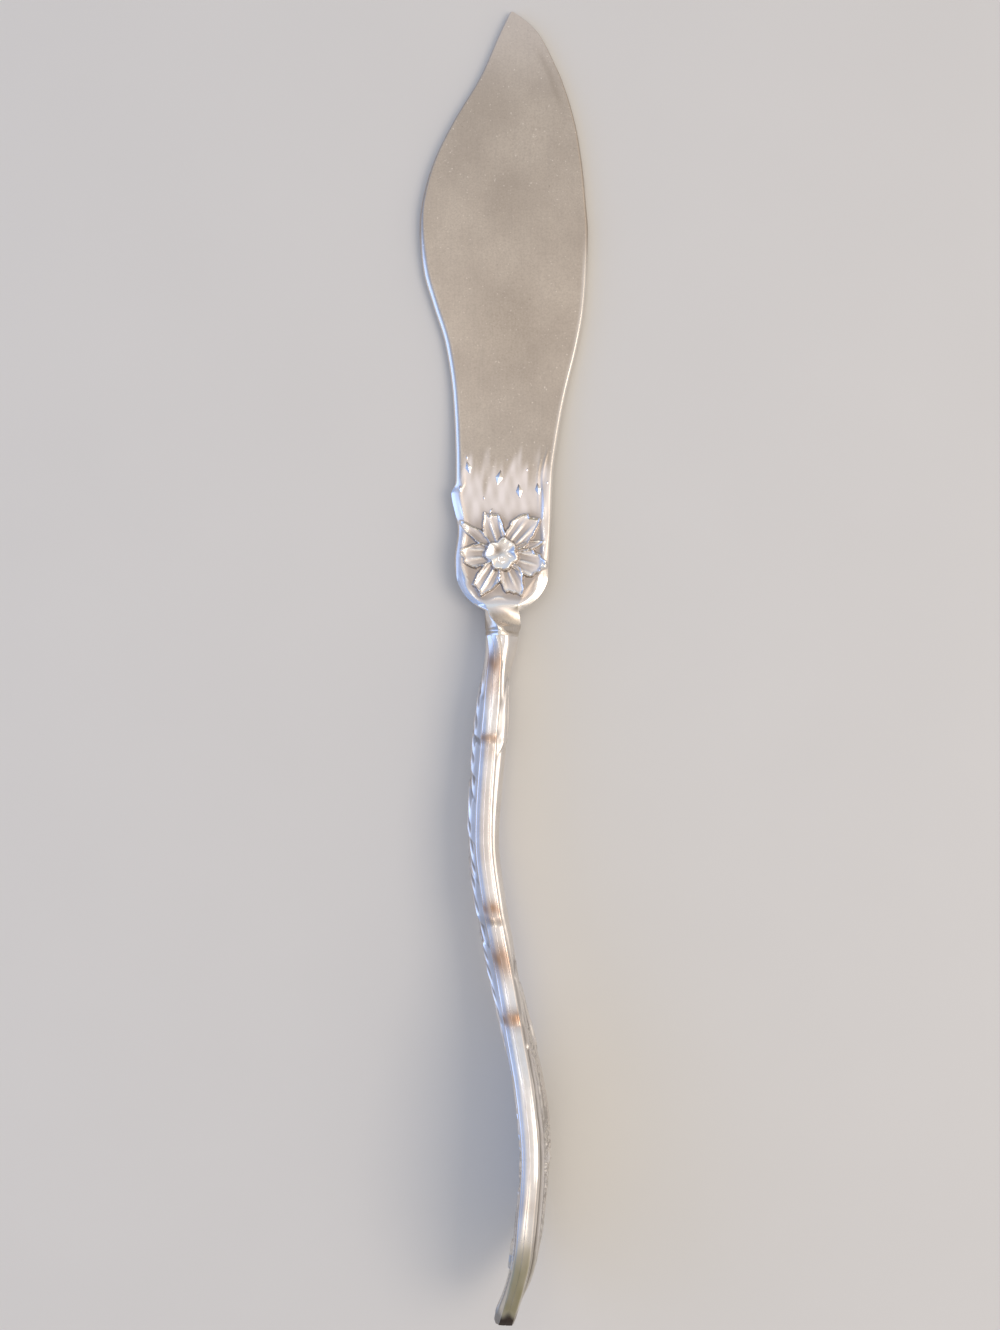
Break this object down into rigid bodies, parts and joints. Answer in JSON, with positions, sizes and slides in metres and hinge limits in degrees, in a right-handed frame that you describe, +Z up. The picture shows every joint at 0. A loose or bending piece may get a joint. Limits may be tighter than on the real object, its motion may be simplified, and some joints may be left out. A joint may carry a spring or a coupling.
{
  "type": "butter knife",
  "caption": "Silver-plate butter knife with a flat leaf-shaped blade, a flower struck on its root, a neck twisted by nearly a quarter turn and a slim curved handle that stands on its edge.",
  "frame": {"origin": "centre of the lying knife's footprint, on the table that it rests on", "axes": "+Y from the handle's end to the blade's tip, +X to the right of the blade seen from above, +Z up from the table"},
  "size_m": [0.0236, 0.1794, 0.0181],
  "materials": {
    "blade_plate": "satin silver plate, darker in the recesses of the flower",
    "handle_plate": "satin silver plate, worn to a warmer tone at the end",
    "solder": "dull soft solder",
    "cement": "matte"
  },
  "bodies": {
    "root": {"blade": "blade_plate", "handle_front_shell": "handle_plate", "handle_back_shell": "handle_plate", "seam_solder": "solder", "handle_cement": "cement"}
  },
  "joints": []
}
